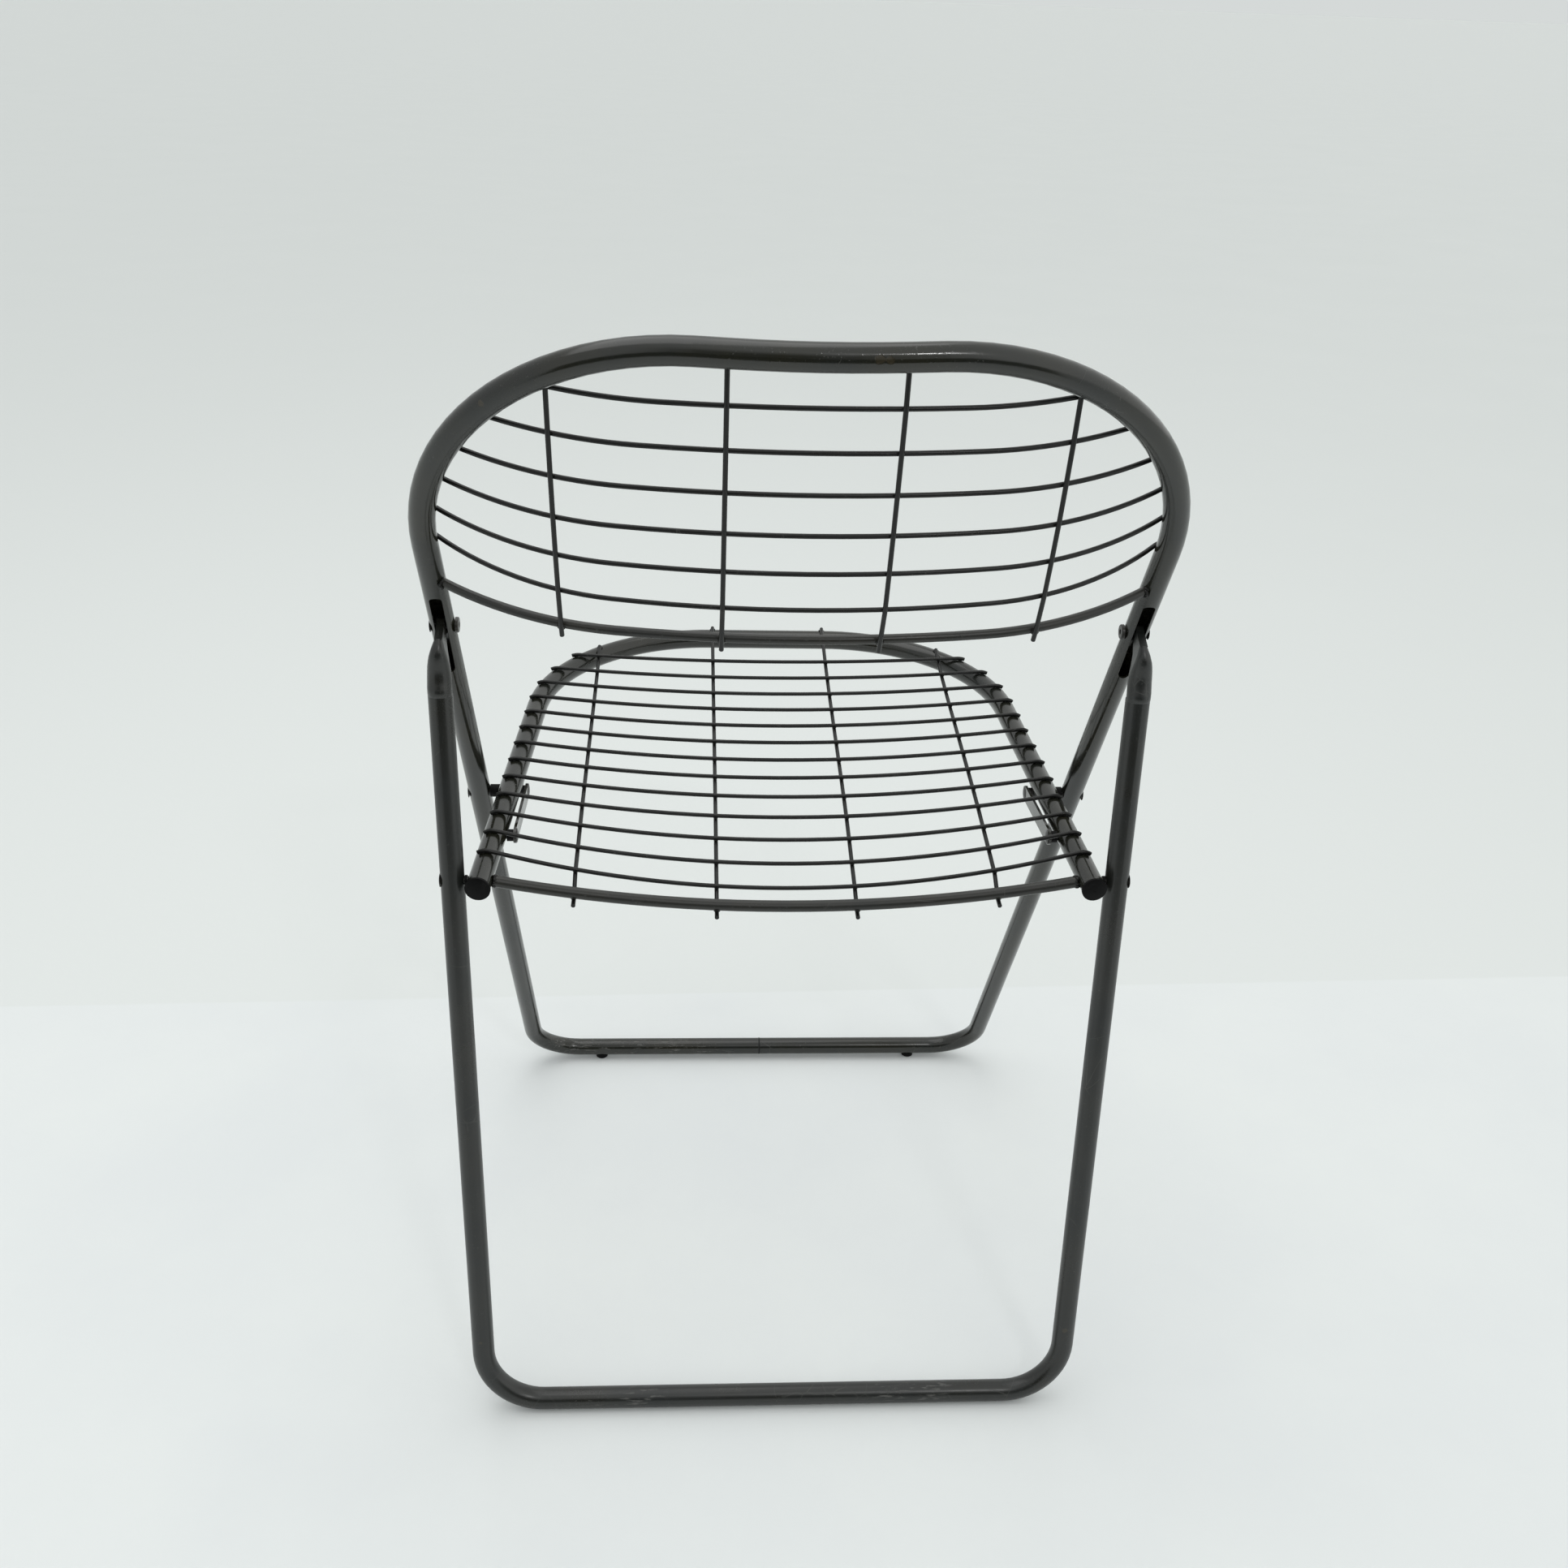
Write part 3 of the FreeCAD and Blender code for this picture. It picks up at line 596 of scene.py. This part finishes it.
def weld_crossings(bm, cross_wires, long_wires):
    for cross_name in cross_wires:
        for long_name in long_wires:
            low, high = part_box(long_name)
            middle = wire_middle(cross_name, (low.x + high.x) / 2)
            spot, towards = touching_point(middle, surfaces[long_name])
            if (spot - middle).length <= CROSSING_REACH:
                add_lump(bm, spot, SIDEWAYS, towards, CROSSING_LUMP)


def weld_wire_ends(bm, cross_wires, tube):
    for cross_name in cross_wires:
        low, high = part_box(cross_name)
        for end in (low.x + CUT_END, high.x - CUT_END):
            inward = -math.copysign(1, end)
            middle = wire_middle(cross_name, end + inward * END_WELD_STEP)
            ahead = wire_middle(cross_name, end + inward * 2 * END_WELD_STEP)
            spot, towards = touching_point(middle, surfaces[tube])
            add_lump(bm, spot, ahead - middle, towards, WIRE_END_LUMP)


PAIRS = [side + kind for side in ("left_", "right_") for kind in ("inner", "outer")]
seat_cross = ["seat_cross_wire_%02d" % number for number in range(1, 14)]
back_cross = ["back_cross_wire_%d" % number for number in range(1, 7)]
seat_long = [pair + "_seat_long_wire" for pair in PAIRS]
back_long = [pair + "_back_upright" for pair in PAIRS]

seat_welds = bmesh.new()
weld_crossings(seat_welds, seat_cross, seat_long)
weld_wire_ends(seat_welds, seat_cross, "seat_frame")
back_welds = bmesh.new()
weld_crossings(back_welds, back_cross, back_long)
weld_wire_ends(back_welds, back_cross, "main_frame")

# %% [markdown]
# ## Beads at the rods
#
# The two bent rods are welded to the tubes by hand, and those beads are larger and rougher: a
# ring of lumps round the end of the rod. The long wires are spot welded where they pass over a
# rod, just before their cut ends. Their other ends are welded to the frame's tube.

# %% Weld the rods and the ends of the long wires
BEAD_LUMPS = 9
BEAD_IN = 0.0022
BEAD_BEHIND = 0.008
BEAD_RADIUS_SHARE = 0.92
BEAD_SPREAD = (0.0002, 0.0016)
BEAD_SIZES = ((0.0012, 0.0019), (0.0012, 0.0018), (0.0008, 0.0012))
BEAD_SEEDS = {1: 7, -1: 11}
LONG_WIRE_LUMP = (0.0026, 0.0028, 0.0013)


def weld_rod_end(bm, rod, side, rod_radius):
    low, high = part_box(rod)
    end = high.x if side > 0 else low.x
    middle = wire_middle(rod, end - side * BEAD_IN)
    inner = wire_middle(rod, end - side * BEAD_BEHIND)
    heading = (middle - inner).normalized()
    first = heading.orthogonal().normalized()
    spread = random.Random(BEAD_SEEDS[side])
    for turn in range(BEAD_LUMPS):
        outward = Quaternion(heading, turn * math.tau / BEAD_LUMPS) @ first
        ring_place = middle + outward * rod_radius * BEAD_RADIUS_SHARE
        centre = ring_place + heading * spread.uniform(*BEAD_SPREAD)
        size = [spread.uniform(*limits) for limits in BEAD_SIZES]
        add_lump(bm, centre, heading, outward, size, rounds=2, ragged=0.35)


def tip_of(long_name):
    points = mesh_points(long_name)
    if "upright" in long_name:
        return max(points, key=lambda point: point.z)
    return min(points, key=lambda point: point.y)


def weld_over(bm, long_wires, other):
    for long_name in long_wires:
        low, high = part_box(long_name)
        if "rod" in other:
            middle = wire_middle(other, (low.x + high.x) / 2)
        else:
            middle = surfaces[other].find_nearest(tip_of(long_name))[0]
        wire_point = surfaces[long_name].find_nearest(middle)[0]
        spot, towards = touching_point(wire_point, surfaces[other])
        add_lump(bm, spot, SIDEWAYS, towards, LONG_WIRE_LUMP, rounds=2)


for side in (1, -1):
    weld_rod_end(seat_welds, "seat_rear_rod", side, rod_radius=0.004)
    weld_rod_end(back_welds, "back_lower_rod", side, rod_radius=0.003)
weld_over(seat_welds, seat_long, "seat_rear_rod")
weld_over(back_welds, back_long, "back_lower_rod")
weld_over(seat_welds, seat_long, "seat_frame")
weld_over(back_welds, back_long, "main_frame")
finish_piece("seat_mesh_welds", seat_welds, "seat", weld_paint)
finish_piece("back_mesh_welds", back_welds, "main", weld_paint)

# %% [markdown]
# ## The butt joint in the front floor bar
#
# The main frame is one tube bent into a closed loop, so its two ends meet. They meet near the
# middle of the front floor bar, in a thin ground weld that still shows as a ring under the paint.
# A short rounded profile spun once round the bar makes the ring.

# %% Spin the ring of the butt joint
TUBE_RADIUS = 0.008
RING_PLACE = -0.0034
RING_STEPS = 48
RING_PROFILE = (
    (-0.0010, -0.0003),
    (-0.0006, 0.00008),
    (0.0, 0.00016),
    (0.0006, 0.00008),
    (0.0010, -0.0003),
)


def make_joint_ring(name, side, body, node):
    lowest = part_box(node)[0]
    middle = Vector((side, lowest[1] + TUBE_RADIUS, lowest[2] + TUBE_RADIUS))
    bm = bmesh.new()
    verts = [
        bm.verts.new((side + along, middle.y, middle.z + TUBE_RADIUS + rise))
        for along, rise in RING_PROFILE
    ]
    edges = [bm.edges.new(pair) for pair in zip(verts, verts[1:] + verts[:1])]
    bmesh.ops.spin(
        bm, geom=verts + edges, cent=middle, axis=SIDEWAYS, angle=math.tau, steps=RING_STEPS,
        use_merge=True, use_duplicate=False,
    )
    finish_piece(name, bm, body, weld_paint)


make_joint_ring("front_bar_joint", RING_PLACE, "main", "main_frame")

# %% [markdown]
# ## The room
#
# A pale floor and soft light are all the room needs. The floor is one large painted sheet, a touch
# darker beyond the line where the wall of a real room would start.
#
# Dark gloss paint shows its surroundings more than its own colour, so what stands round it
# matters. Photographers draw a dark line down a shiny tube with a black card behind the camera.
# Here the sky of the scene is pale, brighter on one side, with a dim stripe behind the camera,
# and a dark card stands there just above the floor. The card is hidden from the camera and casts
# no shadow, so it shows only as a reflection in the paint. One wide lamp hangs over the chair,
# and a small one draws the sharp streaks.

# %% Lay the floor
WALL_LINE = -0.342
WALL_SLOPE = 0.029
WALL_EDGE = 0.002
WALL_COLOUR = (0.76, 0.785, 0.775, 1)
FLOOR_COLOUR = (0.80, 0.825, 0.82, 1)
FLOOR_DARKER = (0.77, 0.795, 0.80, 1)
FLOOR_SHINE = 0.25
FLOOR_REACH = 160.0
FLOOR_CELLS = 8
FLOOR_CLOUD_SCALE = 3.0
FLOOR_BRUSH_SCALE = 120.0
FLOOR_DEPTH = 0.001


def make_floor_paint():
    material, tree, shader = open_material("painted_floor")
    shader.inputs["Specular IOR Level"].default_value = FLOOR_SHINE
    vector = object_vector(tree)
    split = place(tree, "ShaderNodeSeparateXYZ", {0: vector})
    slope = math_node(tree, "MULTIPLY", split.outputs["X"], WALL_SLOPE)
    line = math_node(tree, "ADD", slope, WALL_LINE)
    beyond = math_node(tree, "SUBTRACT", line, split.outputs["Y"])
    clouds = noise_node(tree, vector, FLOOR_CLOUD_SCALE, detail=5.0, roughness=0.6)
    ground = mix(tree, band(tree, clouds, 0.35, 0.65), FLOOR_COLOUR, FLOOR_DARKER)
    colour = mix(tree, band(tree, beyond, -WALL_EDGE, WALL_EDGE), ground, WALL_COLOUR)
    rough = band(tree, clouds, 0.3, 0.7, 0.55, 0.7)
    brush = noise_node(tree, vector, FLOOR_BRUSH_SCALE, detail=4.0, roughness=0.7)
    plug_in(tree, shader, colour, rough, brush, 0.12, FLOOR_DEPTH)
    return material


def make_floor():
    bm = bmesh.new()
    bmesh.ops.create_grid(bm, x_segments=FLOOR_CELLS, y_segments=FLOOR_CELLS, size=FLOOR_REACH)
    floor = object_from("floor", bm, make_floor_paint())


make_floor()

# %% Light the room
BACKGROUND = (0.665, 0.694, 0.687, 1)
ROOM_BRIGHT_SIDE = (1.06, 1.08, 1.06, 1)
ROOM_DIM_SIDE = (0.64, 0.66, 0.66, 1)
ROOM_DARK_STRIPE = (0.07, 0.07, 0.07, 1)
SIDES_BAND = (-0.8, 0.8)
STRIPE_WIDTH_BAND = (0.04, 0.42)
STRIPE_BEHIND_BAND = (0.3, 0.6)
STRIPE_TOP_BAND = (0.30, 0.70)
LAMP_TARGET = Vector((0.0, 0.0, 0.35))
CARD_BOTTOM = 0.01
CARD_COLOUR = (0.02, 0.02, 0.02, 1)
CARD_ROUGHNESS = 0.9


def light_room():
    world = bpy.data.worlds.new("pale_room")
    bpy.context.scene.world = world
    world.use_nodes = True
    tree = world.node_tree
    room = tree.nodes["Background"]
    direction = place(tree, "ShaderNodeTexCoord").outputs["Generated"]
    split = place(tree, "ShaderNodeSeparateXYZ", {0: direction})
    sideways, backward, upward = (split.outputs[axis] for axis in "XYZ")
    sides = mix(tree, band(tree, sideways, *SIDES_BAND), ROOM_BRIGHT_SIDE, ROOM_DIM_SIDE)
    aside = math_node(tree, "ABSOLUTE", sideways)
    narrow = band(tree, aside, *STRIPE_WIDTH_BAND, 1.0, 0.0)
    behind = band(tree, backward, *STRIPE_BEHIND_BAND)
    below = band(tree, upward, *STRIPE_TOP_BAND, 1.0, 0.0)
    stripe = math_node(tree, "MULTIPLY", math_node(tree, "MULTIPLY", narrow, behind), below)
    tree.links.new(mix(tree, stripe, sides, ROOM_DARK_STRIPE), room.inputs["Color"])
    seen = place(tree, "ShaderNodeBackground", {"Color": BACKGROUND, "Strength": 1.0})
    path = place(tree, "ShaderNodeLightPath")
    shown = place(tree, "ShaderNodeMixShader", {
        0: path.outputs["Is Camera Ray"],
        1: room.outputs["Background"],
        2: seen.outputs["Background"],
    })
    tree.links.new(shown.outputs["Shader"], tree.nodes["World Output"].inputs["Surface"])


def hang_lamp(name, at, size, power):
    lamp = bpy.data.lights.new(name, "AREA")
    lamp.shape = "RECTANGLE"
    lamp.size, lamp.size_y = size
    lamp.energy = power
    lamp_object = bpy.data.objects.new(name, lamp)
    lamp_object.location = at
    lamp_object.rotation_mode = "QUATERNION"
    lamp_object.rotation_quaternion = (LAMP_TARGET - Vector(at)).to_track_quat("-Z", "Y")
    bpy.context.scene.collection.objects.link(lamp_object)


def stand_dark_card(name, distance, half_width, top):
    bm = bmesh.new()
    corners = (
        (-half_width, CARD_BOTTOM),
        (half_width, CARD_BOTTOM),
        (half_width, top),
        (-half_width, top),
    )
    bm.faces.new([bm.verts.new((x, distance, z)) for x, z in corners])
    material, _, shader = open_material(name)
    shader.inputs["Base Color"].default_value = CARD_COLOUR
    shader.inputs["Roughness"].default_value = CARD_ROUGHNESS
    card = object_from(name, bm, material)
    card.visible_camera = False
    card.visible_diffuse = False
    card.visible_shadow = False


light_room()
stand_dark_card("dark_card", distance=1.60, half_width=1.3, top=0.80)
hang_lamp("ceiling_panel", at=(0.5, -0.2, 2.6), size=(2.4, 1.6), power=14.0)
hang_lamp("streak_lamp", at=(-0.85, 2.7, 2.7), size=(0.35, 0.12), power=8.0)
bpy.context.scene.view_settings.view_transform = "Standard"
